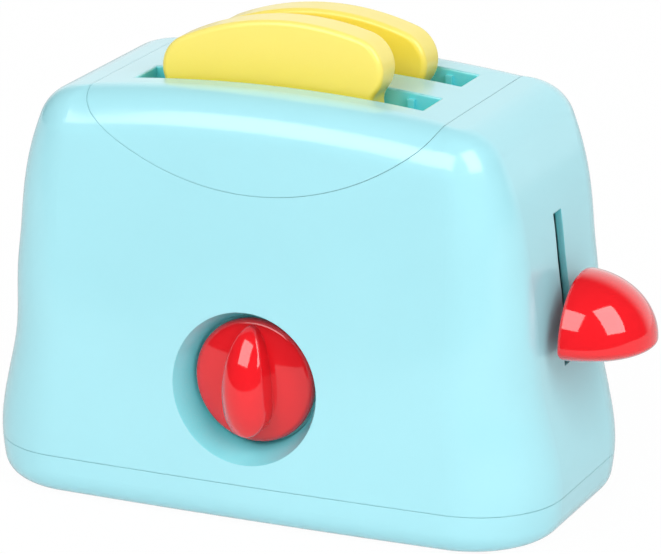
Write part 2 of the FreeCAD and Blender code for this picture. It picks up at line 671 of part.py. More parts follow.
def build_screws():
    """Screw groups: base to shell, chassis to base, posts to chassis, leaves to chassis."""
    groups = {"base_screws": [], "chassis_screws": [], "post_screws": [], "leaf_screws": []}
    for index, (sx, sy) in enumerate(four(1, 1)):
        groups["base_screws"].append(
            screw("BaseScrew%d" % index, "%d * housing_screw_x" % sx, "%d * housing_screw_y" % sy,
                  "screw_pocket + head_height", -1, "base_thread"))
        groups["chassis_screws"].append(
            screw("ChassisScrew%d" % index, "%d * standoff_x" % sx, "%d * standoff_y" % sy,
                  "chassis_top", 1, "chassis_plate + screw_bite"))
    for side, x in (("Left", "-post_at"), ("Right", "post_at")):
        groups["post_screws"].append(
            screw("PostScrew" + side, x, "0", "chassis_top - chassis_plate", -1,
                  "chassis_plate - post_recess + screw_bite"))
    for index, (x, y) in enumerate(leaf_screws()):
        groups["leaf_screws"].append(
            screw("LeafScrew%d" % index, x, y, "chassis_top + leaf_thickness", 1,
                  "leaf_thickness + leaf_bite"))
    for label, items in groups.items():
        group = doc.addObject("Part::Compound", label.title().replace("_", ""))
        group.Links = items
        node(group, label)


def build_leaves():
    """Steel leaves: the finger that holds the carriage down, and the drag on the dial's hub."""
    hook_low = "catch_low + catch_height + hook_gap"
    hook_top = hook_low + " + leaf_thickness"
    foot_top = "chassis_top + leaf_thickness"
    leaf_top = "dial_height + leaf_rise"
    outside = "latch_face + leaf_thickness"
    foot = box("LatchFoot", "latch_face", "latch_face + leaf_foot", "-latch_front", "latch_back",
               "chassis_top", foot_top)
    upright = box("LatchUpright", "latch_face", outside, "-latch_front", "latch_back",
                  "chassis_top", hook_top)
    hook = box("LatchHook", "catch_reach - hook_overlap", outside, "-latch_back", "latch_back", hook_low,
               hook_top)
    notch = box("LatchNotch", "latch_face - 1", outside + " + 1", "-latch_front - 1", "-latch_back", leaf_top,
                hook_top + " + 1")
    holes = [leaf_hole("LatchHole%d" % index, spot) for index, spot in enumerate(leaf_screws()[:2])]
    finger = fuse("LatchSolid", [foot, upright, hook])
    node(cut("LatchFinger", finger, [notch] + holes), "latch_finger")
    face = "-(hub_radius + drag_gap)"
    sides = ("-drag_centre - drag_width / 2", "-drag_centre + drag_width / 2")
    foot = box("DragFoot", face + " - leaf_foot", face, *sides, "chassis_top", foot_top)
    upright = box("DragUpright", face + " - leaf_thickness", face, *sides, "chassis_top", leaf_top)
    hole = leaf_hole("DragHole", leaf_screws()[2])
    node(cut("DragLeaf", fuse("DragSolid", [foot, upright]), [hole]), "drag_leaf")


def leaf_hole(name, spot):
    """Hole in a leaf's foot, over one of its screws."""
    return rod(name, "screw_radius + pass_gap", "leaf_thickness + 2", spot[0], spot[1], "chassis_top - 1")


# ---------------------------------------------------------------- guide posts and springs


def origin_plane(body, role):
    """One of a body's own origin planes."""
    return next(f for f in body.Origin.OriginFeatures if f.Role == role)


def new_sketch(body, name, role):
    """Sketch attached to one of the body's origin planes."""
    sketch = body.newObject("Sketcher::SketchObject", name)
    sketch.AttachmentSupport = (origin_plane(body, role), [""])
    sketch.MapMode = "FlatFace"
    return sketch


def driven(sketch, constraint, name, expression):
    """Add a dimension and bind it to the sheet."""
    index = sketch.addConstraint(constraint)
    sketch.renameConstraint(index, name)
    sketch.setExpression("Constraints." + name, bound(expression))
    return index


def build_posts():
    """Two steel guide posts from the chassis up into the panel's sockets."""
    for side, x in (("left", "-post_at"), ("right", "post_at")):
        body = doc.addObject("PartDesign::Body", "GuidePost" + side.title())
        sketch = new_sketch(body, "PostCircle" + side.title(), "XY_Plane")
        sketch.addGeometry(Part.Circle(Vector(), Vector(0, 0, 1), size("post_radius")), False)
        sketch.addConstraint(Sketcher.Constraint("Coincident", 0, 3, -1, 1))
        driven(sketch, Sketcher.Constraint("Radius", 0, size("post_radius")), "PostRadius", "post_radius")
        pad = body.newObject("PartDesign::Pad", "PostLength" + side.title())
        pad.Profile = sketch
        pad.setExpression("Length", bound("well_floor + post_seat - chassis_top + post_recess"))
        doc.recompute()
        hole = new_sketch(body, "PostHole" + side.title(), "XY_Plane")
        hole.addGeometry(Part.Circle(Vector(), Vector(0, 0, 1), size("screw_radius")), False)
        hole.addConstraint(Sketcher.Constraint("Coincident", 0, 3, -1, 1))
        driven(hole, Sketcher.Constraint("Radius", 0, size("screw_radius")), "HoleRadius",
               "screw_radius + thread_gap")
        pocket = body.newObject("PartDesign::Pocket", "PostTap" + side.title())
        pocket.Profile = hole
        pocket.Reversed = True
        pocket.setExpression("Length", bound("post_tap"))
        place(body, x, 0, "chassis_top - post_recess")
        node(body, "guide_post_" + side)


def spring_shape():
    """One compression spring that starts at the origin, and the height that it starts at."""
    radius = size("spring_radius")
    wire = size("spring_wire") / 2
    low = size("chassis_top") + size("foot_boss_height")
    tall = size("bushing_low") - low - 2 * wire - 2 * size("spring_gap")
    helix = Part.makeHelix(tall / size("spring_turns"), tall, radius)
    start = Vector(radius, 0, 0)
    profile = Part.Wire([Part.Circle(start, Vector(0, 1, 0), wire).toShape()])
    coil = Part.Wire(helix.Edges).makePipeShell([profile], True, True)
    return coil, low + wire + size("spring_gap")


def build_springs():
    """Two lift springs round the guide posts, under the carriage."""
    coil, low = spring_shape()
    for side, sign, turn in (("left", -1, 0), ("right", 1, 180)):
        shape = coil.copy()
        shape.rotate(Vector(), Vector(0, 0, 1), turn)
        shape.translate(Vector(sign * size("post_at"), 0, low))
        solid_node("lift_spring_" + side, shape)


# ---------------------------------------------------------------- carriage and lever


# Half width of the fork over its cheeks, and the height of the arm's middle.
CHEEK = "(lever_thickness / 2 + running_gap + fork_wall)"
ARM_MIDDLE = "(lever_low + lever_high) / 2"

# Depth and height of the space that takes the arm, in fork and knob.
ARM_ROOM = ("-lever_thickness / 2 - running_gap", "lever_thickness / 2 + running_gap",
            "lever_low - running_gap", "lever_high + running_gap")


def build_carriage():
    """Grey carriage: two bread trays, beams, bushings on the posts, catch and lever fork."""
    solids = []
    holes = []
    deep = "tray_top - tray_floor"
    beam_low = deep + " - beam_height"
    room = "(bread_thickness / 2 + slice_gap)"
    for side, sign in (("Front", -1), ("Rear", 1)):
        centre = "%d * slot_centre" % sign
        outer = box("Tray" + side, "-tray_half_length", "tray_half_length",
                    centre + " - %s - tray_lip" % room, centre + " + %s + tray_lip" % room,
                    deep, "tray_top + tray_lip_height")
        trough = box("Trough" + side, "-2 * tray_half_length", "2 * tray_half_length", centre + " - " + room,
                     centre + " + " + room, "tray_top", "tray_top + 2 * tray_lip_height")
        solids.append(cut("TrayOpen" + side, outer, [trough]))
    solids.append(box("SeatStrip", "-tray_half_length", "tray_half_length", "-slot_centre - seat_half_width",
                      "seat_half_width - slot_centre", deep, "tray_top + seat_rise"))
    reach = "(slot_centre + bread_thickness / 2)"
    for side, sign in (("Left", -1), ("Right", 1)):
        x = "%d * post_at" % sign
        solids.append(box("Beam" + side, x + " - beam_width / 2", x + " + beam_width / 2", "-" + reach, reach,
                          beam_low, deep))
        ends = ["%d * (tray_half_length - link_root)" % sign, x][::sign]
        for where, y in (("Front", "-slot_centre"), ("Rear", "slot_centre")):
            solids.append(box("Link" + side + where, *ends, y + " - link_half_width",
                              y + " + link_half_width", beam_low, deep))
        solids.append(rod("Bushing" + side, "bushing_radius", deep + " - bushing_low", x, 0, "bushing_low"))
        holes.append(rod("Guide" + side, "post_radius + running_gap", "2 * shell_height", x, 0, 0))
    solids.append(box("MiddleBeam", "-beam_width / 2", "beam_width / 2", "-" + reach, reach, beam_low, deep))
    catch = ("-catch_half_width", "catch_half_width", "catch_low")
    solids.append(box("CatchTongue", "-catch_half_length", "catch_half_length", *catch, deep))
    solids.append(box("CatchNose", "-catch_half_length", "catch_reach", *catch, "catch_low + catch_height"))
    solids.append(box("Fork", "post_at", "lever_root + fork_length", "-" + CHEEK, CHEEK,
                      "lever_low - fork_floor", deep))
    holes.append(box("ForkGap", "lever_root - running_gap", "2 * lever_tip", *ARM_ROOM))
    holes += pin_holes("Fork")
    node(cut("Carriage", fuse("CarriageSolid", solids), holes), "carriage")


def pin_holes(owner):
    """Holes for the two pins that cross fork and arm."""
    return [rod(owner + "Hole" + name, "pin_radius + running_gap", "4 * " + CHEEK, x, "2 * " + CHEEK,
                ARM_MIDDLE, TO_FRONT) for name, x in pin_places()]


def pin_places():
    """Where the two pins cross the lever arm."""
    return [("Inner", "lever_root + pin_inset"), ("Outer", "lever_root + pin_inset + pin_spacing")]


def build_lever():
    """Steel lever arm and the two pins that hold it in the fork."""
    arm = box("ArmBlank", "lever_root", "lever_tip", "-lever_thickness / 2", "lever_thickness / 2",
              "lever_low", "lever_high")
    node(cut("LeverArm", arm, pin_holes("Arm")), "lever_arm")
    pins = [rod("Pin" + name, "pin_radius", "2 * " + CHEEK, x, CHEEK, ARM_MIDDLE, TO_FRONT)
            for name, x in pin_places()]
    group = doc.addObject("Part::Compound", "LeverPins")
    group.Links = pins
    node(group, "lever_pins")


def build_knob():
    """Red lever knob: half-round dome with a shallow belly and a socket for the arm."""
    halves = []
    for name, rise, low, high in (("Dome", "knob_rise", 0, 90), ("Belly", "knob_drop", -90, 0)):
        half = doc.addObject("Part::Ellipsoid", "Knob" + name)
        half.setExpression("Radius1", bound(rise))
        half.setExpression("Radius2", bound("knob_half_width"))
        half.setExpression("Radius3", bound("knob_reach"))
        half.Angle1 = low
        half.Angle2 = high
        half.Angle3 = 180
        halves.append(place(half, "knob_face", 0, "knob_middle", Rotation(Vector(0, 0, 1), -90)))
    socket = box("KnobSocket", "knob_face - 1", "lever_tip + knob_end_gap", *ARM_ROOM)
    node(cut("LeverKnob", fuse("KnobBlank", halves), [socket]), "lever_knob")


# ---------------------------------------------------------------- dial


def grip_shape(rim):
    """Egg-shaped grip: round foot, slim top, front arched along and across, soft edge."""
    root = rim + size("dial_rim") / 2
    middle = Vector(0, root, size("dial_height") + size("grip_middle"))
    wide = size("grip_half_width")
    rise = size("grip_rise")
    drop = size("grip_drop")
    upper = Part.Ellipse(middle + Vector(0, 0, rise), middle + Vector(wide, 0, 0), middle)
    lower = Part.Ellipse(middle - Vector(0, 0, drop), middle + Vector(wide, 0, 0), middle)
    quarter = math.pi / 2
    arcs = [Part.ArcOfEllipse(half, -quarter, quarter).toShape() for half in (upper, lower)]
    egg = Part.Face(Part.Wire(Part.__sortEdges__(arcs)))
    front = rim - size("grip_reach")
    grip = egg.extrude(Vector(0, front - root - size("dial_rim"), 0))
    grip = grip.common(arched_barrel(front, (wide + size("grip_crown")) / 2)).Solids[0]
    edge = [e for e in grip.Edges if e.BoundBox.YMax < root - size("dial_edge") and e.Length > wide]
    return grip.makeFillet(size("grip_edge"), edge)


def arched_barrel(front, half):
    """Barrel round a level axis behind the dial; its side gives the grip's front both its curves."""
    arch = size("grip_arch")
    crown = size("grip_crown")
    centre = Vector(0, front + arch, size("dial_height") + size("grip_arch_at"))
    edge = arch - crown + math.sqrt(crown * crown - half * half)
    corners = [centre + Vector(half, edge, 0), centre + Vector(half, 0, 0), centre + Vector(-half, 0, 0),
               centre + Vector(-half, edge, 0)]
    bulge = Part.Arc(corners[3], centre + Vector(0, arch, 0), corners[0]).toShape()
    sides = [Part.LineSegment(corners[i], corners[i + 1]).toShape() for i in range(3)]
    return Part.Face(Part.Wire([bulge] + sides)).revolve(centre, Vector(1, 0, 0), 360)


def dial_disc(rim, back):
    """Disc with a slightly domed face and a rounded rim."""
    radius = size("dial_radius")
    dome = size("dial_dome")
    sphere = (radius * radius + dome * dome) / (2 * dome)
    ball = Part.makeSphere(sphere, Vector(0, rim - dome + sphere, size("dial_height")))
    disc = along_y(radius, rim - dome, back).common(ball)
    near = size("running_gap")
    edge = [e for e in disc.Edges if abs(e.BoundBox.YMin - rim) < near and abs(e.BoundBox.YMax - rim) < near]
    return disc.makeFillet(size("dial_edge"), edge)


def lobe_on_hub(width, reach, start, end):
    """Block that stands up from the cam's axis, between two depths."""
    block = Part.makeBox(width, end - start, reach, Vector(-width / 2, start, size("dial_height")))
    return block.common(along_y(reach, start, end))


def build_dial():
    """Red dial with its shaft, the cam on the shaft, and the screw that holds the cam."""
    floor = recess_floor()
    back = floor - size("dial_gap")
    rim = back - size("dial_rim")
    bearing_end = floor + size("wall") + size("bearing_length")
    stop = bearing_end + size("cam_length")
    spindle_end = stop - size("lobe_length")
    shaft = along_y(size("shaft_radius"), rim, bearing_end + size("shaft_shoulder"))
    spindle = along_y(size("spindle_radius"), rim, spindle_end)
    tap = along_y(size("screw_radius") + size("thread_gap"), spindle_end - size("shaft_tap"),
                  spindle_end + OVERSHOOT)
    dial = joined(dial_disc(rim, back), [grip_shape(rim), shaft, spindle]).cut(tap)
    solid_node("dial", dial.Solids[0])
    start = bearing_end + size("cam_gap")
    hub = along_y(size("hub_radius"), start, stop)
    lobe = lobe_on_hub(size("lobe_width"), size("lobe_radius"), spindle_end, stop)
    lug = lobe_on_hub(size("lug_width"), size("lug_radius"), start, start + size("lug_length"))
    bore = along_y(size("spindle_radius") + size("running_gap"), start - OVERSHOOT, spindle_end)
    passing = along_y(size("screw_radius") + size("pass_gap"), start, stop + OVERSHOOT)
    solid_node("dial_cam", joined(hub, [lobe, lug]).cut([bore, passing]).Solids[0])
    head = along_y(size("head_radius"), stop, stop + size("head_height"))
    thread = along_y(size("screw_radius"), spindle_end - size("dial_bite"), stop)
    blank = joined(head, [thread])
    solid_node("dial_screw", blank.cut(dial_screw_cross(stop + size("head_height"))).Solids[0])


def dial_screw_cross(face):
    """Cross in the head of the dial screw, whose face looks to the back."""
    deep = size("cross_depth")
    cross = []
    for wide, tall in CROSS_SLOTS:
        start = Vector(-size(wide) / 2, face - deep, size("dial_height") - size(tall) / 2)
        cross.append(Part.makeBox(size(wide), deep + OVERSHOOT, size(tall), start))
    return cross


# ---------------------------------------------------------------- bread


def bread_sketch(sketch):
    """Loaf outline: flat foot, straight waist, hollow neck, round shoulders, flat arched top."""
    tall = size("bread_height")
    top = size("bread_top_radius")
    shoulder = size("bread_shoulder")
    neck = size("bread_neck")
    foot = size("bread_foot")
    head = size("bread_half_width")
    waist = size("bread_waist")
    top_z = tall - top
    shoulder_x = head - shoulder
    shoulder_z = top_z + math.sqrt((top - shoulder) ** 2 - shoulder_x ** 2)
    neck_x = waist + neck
    neck_z = shoulder_z - math.sqrt((shoulder + neck) ** 2 - (neck_x - shoulder_x) ** 2)
    meet = math.atan2(shoulder_z - top_z, shoulder_x)
    curl = math.atan2(neck_z - shoulder_z, neck_x - shoulder_x)
    up = Vector(0, 0, 1)

    def circle(x, z, radius, start, end):
        return Part.ArcOfCircle(Part.Circle(Vector(x, z, 0), up, radius), start, end)

    def line(x0, z0, x1, z1):
        return Part.LineSegment(Vector(x0, z0, 0), Vector(x1, z1, 0))

    quarter = math.pi / 2
    items = [
        line(foot - waist, 0, waist - foot, 0),
        circle(waist - foot, foot, foot, -quarter, 0),
        line(waist, foot, waist, neck_z),
        circle(neck_x, neck_z, neck, curl + math.pi, math.pi),
        circle(shoulder_x, shoulder_z, shoulder, curl, meet),
        circle(0, top_z, top, meet, math.pi - meet),
        circle(-shoulder_x, shoulder_z, shoulder, math.pi - meet, math.pi - curl),
        circle(-neck_x, neck_z, neck, 0, -curl),
        line(-waist, neck_z, -waist, foot),
        circle(foot - waist, foot, foot, math.pi, 3 * quarter),
    ]
    sketch.addGeometry(items, False)
    joints = [(0, 2, 1, 1), (1, 2, 2, 1), (2, 2, 3, 2), (3, 1, 4, 1), (4, 2, 5, 1), (5, 2, 6, 1),
              (6, 2, 7, 2), (7, 1, 8, 1), (8, 2, 9, 1), (9, 2, 0, 1)]
    for first, end, second, begin in joints:
        sketch.addConstraint(Sketcher.Constraint("Tangent", first, end, second, begin))
    sketch.addConstraint(Sketcher.Constraint("Horizontal", 0))
    sketch.addConstraint(Sketcher.Constraint("Vertical", 2))
    sketch.addConstraint(Sketcher.Constraint("Vertical", 8))
    sketch.addConstraint(Sketcher.Constraint("PointOnObject", 0, 1, -1))
    sketch.addConstraint(Sketcher.Constraint("PointOnObject", 5, 3, -2))
    for left, right in ((9, 1), (7, 3), (6, 4)):
        sketch.addConstraint(Sketcher.Constraint("Equal", left, right))
    sketch.addConstraint(Sketcher.Constraint("Horizontal", 6, 3, 4, 3))
    sketch.addConstraint(Sketcher.Constraint("Horizontal", 7, 3, 3, 3))
    driven(sketch, Sketcher.Constraint("Radius", 5, top), "TopRadius", "bread_top_radius")
    driven(sketch, Sketcher.Constraint("Radius", 4, shoulder), "ShoulderRadius", "bread_shoulder")
    driven(sketch, Sketcher.Constraint("Radius", 3, neck), "NeckRadius", "bread_neck")
    driven(sketch, Sketcher.Constraint("Radius", 1, foot), "FootRadius", "bread_foot")
    driven(sketch, Sketcher.Constraint("DistanceX", 6, 3, 4, 3, 2 * shoulder_x), "ShoulderSpan",
           "2 * (bread_half_width - bread_shoulder)")
    driven(sketch, Sketcher.Constraint("DistanceX", 8, 1, 2, 1, 2 * waist), "Waist", "2 * bread_waist")
    driven(sketch, Sketcher.Constraint("DistanceY", -1, 1, 5, 3, top_z), "TopCentre",
           "bread_height - bread_top_radius")


def build_bread(side, sign, x, tilt, seat):
    """One slice, standing in its tray."""
    body = doc.addObject("PartDesign::Body", "Bread" + side.title())
    sketch = new_sketch(body, "Loaf" + side.title(), "XZ_Plane")
    bread_sketch(sketch)
    doc.recompute()
    pad = body.newObject("PartDesign::Pad", "Slice" + side.title())
    pad.Profile = sketch
    pad.Midplane = True
    pad.setExpression("Length", bound("bread_thickness"))
    doc.recompute()
    rounding = body.newObject("PartDesign::Fillet", "Crust" + side.title())
    faces = [i for i, f in enumerate(pad.Shape.Faces, start=1) if abs(f.normalAt(0, 0).y) > 0.99
             and f.Surface.TypeId == "Part::GeomPlane"]
    rounding.Base = (pad, ["Face%d" % i for i in faces])
    rounding.setExpression("Radius", bound("bread_edge"))
    body.Tip = rounding
    doc.recompute()
    body.Placement = Placement(Vector(), Rotation(Vector(0, 1, 0), -tilt))
    place(body, x, "%d * slot_centre" % sign, seat)
    node(body, "bread_" + side)


def build_breads():
    """Both slices lean a little in their slots; the front one stands on the raised seat strip."""
    for side, sign, floor in (("front", -1, "tray_top + seat_rise"), ("rear", 1, "tray_top")):
        tilt = side + "_bread_tilt"
        lift = "(bread_waist - bread_foot) * sin(%s) + bread_foot * (1 - cos(%s))" % (tilt, tilt)
        build_bread(side, sign, side + "_bread_x", size(tilt), floor + " + bread_rest + " + lift)


def check_and_export():
    """Refuse anything failed, empty or invalid, then write one file per sub-part."""
    doc.recompute()
    failed = [item.Name for item in doc.Objects if set(item.State) & {"Invalid", "Error"}]
    if failed:
        raise RuntimeError("failed objects: %s" % ", ".join(failed))
    os.makedirs("parts", exist_ok=True)
    for item in NODES:
        shape = item.Shape
        if shape.isNull() or not shape.isValid() or not shape.Solids:
            raise RuntimeError("%s has no valid solid" % item.Label)
    for item in NODES:
        item.Shape.exportStep("parts/%s.step" % item.Label)
        bounds = item.Shape.BoundBox
        print("%-18s solids %d  volume %9.1f  x %.1f..%.1f  y %.1f..%.1f  z %.1f..%.1f" % (
            item.Label, len(item.Shape.Solids), item.Shape.Volume, bounds.XMin, bounds.XMax, bounds.YMin,
            bounds.YMax, bounds.ZMin, bounds.ZMax))


fill_sheet(SIZES, 1)
fill_sheet(following_sizes(), len(SIZES) + 1)
build_housing()
build_chassis()
build_screws()
build_leaves()
build_posts()
build_springs()
build_carriage()
build_lever()
build_knob()
build_dial()
build_breads()
check_and_export()
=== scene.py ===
import math

import bmesh
import bpy
from bpy.props import FloatProperty, FloatVectorProperty, IntProperty, PointerProperty
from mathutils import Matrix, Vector


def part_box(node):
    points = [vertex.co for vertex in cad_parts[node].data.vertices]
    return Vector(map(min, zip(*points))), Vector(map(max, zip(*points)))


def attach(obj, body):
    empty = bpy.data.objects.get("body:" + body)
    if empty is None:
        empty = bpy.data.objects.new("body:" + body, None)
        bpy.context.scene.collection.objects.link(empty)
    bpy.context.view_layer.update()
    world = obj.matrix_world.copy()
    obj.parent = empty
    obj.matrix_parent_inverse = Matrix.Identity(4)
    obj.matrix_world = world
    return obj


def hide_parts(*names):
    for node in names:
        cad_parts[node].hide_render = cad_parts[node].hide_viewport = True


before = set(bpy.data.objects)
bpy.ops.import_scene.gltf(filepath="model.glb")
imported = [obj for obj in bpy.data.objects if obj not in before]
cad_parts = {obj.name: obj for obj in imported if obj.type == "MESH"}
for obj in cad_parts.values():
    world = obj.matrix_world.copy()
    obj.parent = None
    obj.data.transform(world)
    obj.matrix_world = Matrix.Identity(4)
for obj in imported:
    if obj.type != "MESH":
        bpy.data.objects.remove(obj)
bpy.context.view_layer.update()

bl_info = {
    "name": "Toy Toaster",
    "version": (1, 0, 0),
    "blender": (4, 5, 0),
    "location": "3D View > Sidebar > Toaster",
    "description": "Finishes of a toy pop-up toaster, its lever knob and a plain studio",
    "category": "Object",
}

MILLIMETRE = 0.001
WHITE = (1.0, 1.0, 1.0, 1.0)

# Finishes. A scale is that of a noise, and a span is the part of a value's range that is spread
# over two levels. Shade is painted into hollows as a deeper tone within a reach, as less of the
# room is open to them.
NOISE_SPAN = (0.35, 0.65)
NOISE_DETAIL = 2.0
DRIFT_SCALE = 14.0
GLOSS_SCALE = 60.0
GRAIN_SCALE = 2400.0
GRAIN_DETAIL = 3.0
GRAIN_DEPTH = 0.1 * MILLIMETRE
STEEL_DRIFT_SCALE = 320.0
STEEL_GLOSS_SCALE = 900.0
STEEL_GRAIN_SCALE = 1600.0
PAINTED_SHADE_REACH = 55 * MILLIMETRE
PAINTED_SHADE_SPAN = (0.5, 0.97)
PAINTED_SHADE_SAMPLES = 4
EDGE_SAMPLES = 4
PLASTIC_IOR = 1.5

# Lever knob. The drop is the depth of its belly below its middle, and the insets of the rings on its
# flat face are multiples of its rim.
KNOB_DROP = 6.4 * MILLIMETRE
FLAT_INSETS = (12.0, 8.0, 5.0, 3.0)
RIM_STEPS = 8
DOME_STEPS = 40
WELD_DISTANCE = 1e-6

# Studio. Lengths are in metres, apart from the sensor's width.
SENSOR_WIDTH = 36.0  # millimetres
CLIP_START = 0.05
CLIP_END = 50.0
LAMP_DISTANCE = 2.0
LAMP_TARGET = Vector((0.0, 0.0, 0.07))
DARK_SIDE_SPAN = (0.5, 0.85)
FLOOR_REACH = 3.0
FLOOR_COLOUR = (0.92, 0.93, 0.93, 1.0)
FLOOR_ROUGHNESS = 0.8
FLOOR_SPECULAR = 0.1
FLOOR_GLOW_SHARE = 0.97
TABLE_EDGE_SOFTNESS = 0.01


# ---------------------------------------------------------------- settings


class ToasterColours(bpy.types.PropertyGroup):
    """Colours of the toaster's plastics and metal, and the tones of painted shade in their hollows."""

    shell: FloatVectorProperty(name="Housing", description="Turquoise plastic of the housing",
                               subtype="COLOR", size=4, min=0.0, max=1.0,
                               default=(0.385, 0.765, 0.84, 1.0))
    # Painted shade: the tone laid into the housing's hollows, where less light reaches them.
    painted_shade: FloatVectorProperty(name="Housing hollows", description="Deeper tone in the housing's hollows",
                                subtype="COLOR", size=4, min=0.0, max=1.0,
                                default=(0.12, 0.75, 0.82, 1.0))
    red: FloatVectorProperty(name="Dial and lever", description="Red plastic of dial and knob",
                             subtype="COLOR", size=4, min=0.0, max=1.0,
                             default=(0.86, 0.011, 0.018, 1.0))
    bread: FloatVectorProperty(name="Bread", description="Yellow plastic of the slices",
                               subtype="COLOR", size=4, min=0.0, max=1.0,
                               default=(0.96, 0.81, 0.19, 1.0))
    # Painted shade: the deeper yellow laid where the slices are in shade.
    bread_painted_shade: FloatVectorProperty(name="Bread hollows", description="Deeper tone where the slices are in shade",
                               subtype="COLOR", size=4, min=0.0, max=1.0,
                               default=(0.98, 0.73, 0.07, 1.0))
    inner: FloatVectorProperty(name="Inner parts", description="Grey plastic inside the housing",
                               subtype="COLOR", size=4, min=0.0, max=1.0,
                               default=(0.36, 0.40, 0.41, 1.0))
    steel: FloatVectorProperty(name="Steel", description="Posts, springs, leaves and screws",
                               subtype="COLOR", size=4, min=0.0, max=1.0,
                               default=(0.62, 0.63, 0.64, 1.0))


class ToasterSizes(bpy.types.PropertyGroup):
    """Sizes of what is modelled here."""

    knob_rim: FloatProperty(name="Knob rim", description="Rounding round the knob's flat face",
                            unit="LENGTH", default=1.3 * MILLIMETRE, min=0.1 * MILLIMETRE,
                            max=3.0 * MILLIMETRE)
    knob_steps: IntProperty(name="Knob steps", description="Points round the knob",
                            default=96, min=16, max=256)


class StudioSettings(bpy.types.PropertyGroup):
    """Camera and lights."""

    camera_azimuth: FloatProperty(name="Azimuth", description="Camera direction, from the front towards +X",
                                  subtype="ANGLE", default=math.radians(23.898))
    camera_elevation: FloatProperty(name="Elevation", description="Camera height above the horizon",
                                    subtype="ANGLE", default=math.radians(17.34))
    camera_distance: FloatProperty(name="Distance", description="From camera to the toaster's middle",
                                   unit="LENGTH", default=1.44)
    target_height: FloatProperty(name="Target height", description="Height that the camera looks at",
                                 unit="LENGTH", default=67.5 * MILLIMETRE)
    lens: FloatProperty(name="Lens", description="Focal length in millimetres", default=248.34)
    shift_x: FloatProperty(name="Shift across", description="Share of the picture's width", default=0.03498)
    shift_y: FloatProperty(name="Shift up", description="Share of the picture's width", default=-0.00293)
    front_power: FloatProperty(name="Front softbox", description="Power of the large softbox in front",
                               unit="POWER", default=20.0, min=0.0)
    side_power: FloatProperty(name="Side softbox", description="Power of the tall softbox at the lever's end",
                              unit="POWER", default=22.5, min=0.0)
    rear_power: FloatProperty(name="Rear softbox", description="Power of the small softbox behind",
                              unit="POWER", default=14.0, min=0.0)
    room_light: FloatProperty(name="Room light", description="Strength of the even light all round",
                              default=0.38, min=0.0)
    mirror_light: FloatProperty(name="Mirrored table", description="Strength of the table, as gloss sees it",
                                default=0.6, min=0.0, max=1.0)
    mirror_room: FloatProperty(name="Mirrored room",
                               description="Strength of the room behind, as gloss sees it",
                               default=0.95, min=0.0, max=1.0)
    mirror_dark: FloatProperty(name="Mirrored dark",
                               description="Strength of the dark side that gloss reflects",
                               default=0.05, min=0.0, max=1.0)
    table_front: FloatProperty(name="Table front",
                               description="Front edge of the white table, as gloss sees it",
                               unit="LENGTH", default=-0.30)


# ---------------------------------------------------------------- nodes


def new_material(name):
    """A new material, with its node tree and its principled shader."""
    material = bpy.data.materials.new(name)
    material.use_nodes = True
    tree = material.node_tree
    return material, tree, tree.nodes["Principled BSDF"]


def noise(tree, scale, detail=NOISE_DETAIL):
    """Noise in the toaster's own coordinates."""
    place = tree.nodes.new("ShaderNodeTexCoord")
    texture = tree.nodes.new("ShaderNodeTexNoise")
    texture.inputs["Scale"].default_value = scale
    texture.inputs["Detail"].default_value = detail
    tree.links.new(place.outputs["Object"], texture.inputs["Vector"])
    return texture.outputs["Fac"]


def spread(tree, value, span, levels, curve="LINEAR"):
    """A value carried from a span to a pair of levels, and held at both ends."""
    node = tree.nodes.new("ShaderNodeMapRange")
    node.interpolation_type = curve
    for socket, number in zip(("From Min", "From Max", "To Min", "To Max"), span + levels):
        node.inputs[socket].default_value = number
    tree.links.new(value, node.inputs["Value"])
    return node.outputs["Result"]


def blended(tree, factor, low, high, kind="FLOAT"):
    """A mix of two levels or two colours; each is a value or an output."""
    node = tree.nodes.new("ShaderNodeMix")
    node.data_type = kind
    for socket, level in (("A", low), ("B", high)):
        if isinstance(level, bpy.types.NodeSocket):
            tree.links.new(level, node.inputs[socket])
        else:
            node.inputs[socket].default_value = level
    tree.links.new(factor, node.inputs["Factor"])
    return node.outputs["Result"]


def depth_coordinate(tree, output):
    """Y of a position or a direction."""
    place = tree.nodes.new("ShaderNodeTexCoord")
    split = tree.nodes.new("ShaderNodeSeparateXYZ")
    tree.links.new(place.outputs[output], split.inputs["Vector"])
    return split.outputs["Y"]


def by_ray(tree, lit, mirrored, seen):
    """Level for light rays, for rays that gloss or glass sends on, and for the camera."""
    path = tree.nodes.new("ShaderNodeLightPath")
    either = tree.nodes.new("ShaderNodeMath")
    either.operation = "MAXIMUM"
    tree.links.new(path.outputs["Is Glossy Ray"], either.inputs[0])
    tree.links.new(path.outputs["Is Transmission Ray"], either.inputs[1])
    level = blended(tree, either.outputs[0], lit, mirrored)
    return blended(tree, path.outputs["Is Camera Ray"], level, seen)


# ---------------------------------------------------------------- materials


def shaded(colour, share):
    """A colour made darker by a share."""
    return tuple(channel * (1.0 - share) for channel in colour[:3]) + (1.0,)


def mottle_and_painted_shade(tree, shader, colour, share, scale, painted_shade=None, alone=False):
    """Base colour that drifts a little over the surface, and painted shade: another tone in hollows.

    The hollows are those of the piece alone, or those that its neighbours make as well.
    """
    drift = spread(tree, noise(tree, scale), NOISE_SPAN, (0.0, 1.0))
    tone = blended(tree, drift, shaded(colour, share), colour, "RGBA")
    # Painted shade: where ambient occlusion finds a hollow, the colour is mixed towards the shade tone.
    if painted_shade:
        occlusion = tree.nodes.new("ShaderNodeAmbientOcclusion")
        occlusion.samples = PAINTED_SHADE_SAMPLES
        occlusion.only_local = alone
        occlusion.inputs["Distance"].default_value = PAINTED_SHADE_REACH
        openness = spread(tree, occlusion.outputs["AO"], PAINTED_SHADE_SPAN, (0.0, 1.0), "SMOOTHSTEP")
        tone = blended(tree, openness, painted_shade, tone, "RGBA")
    tree.links.new(tone, shader.inputs["Base Color"])


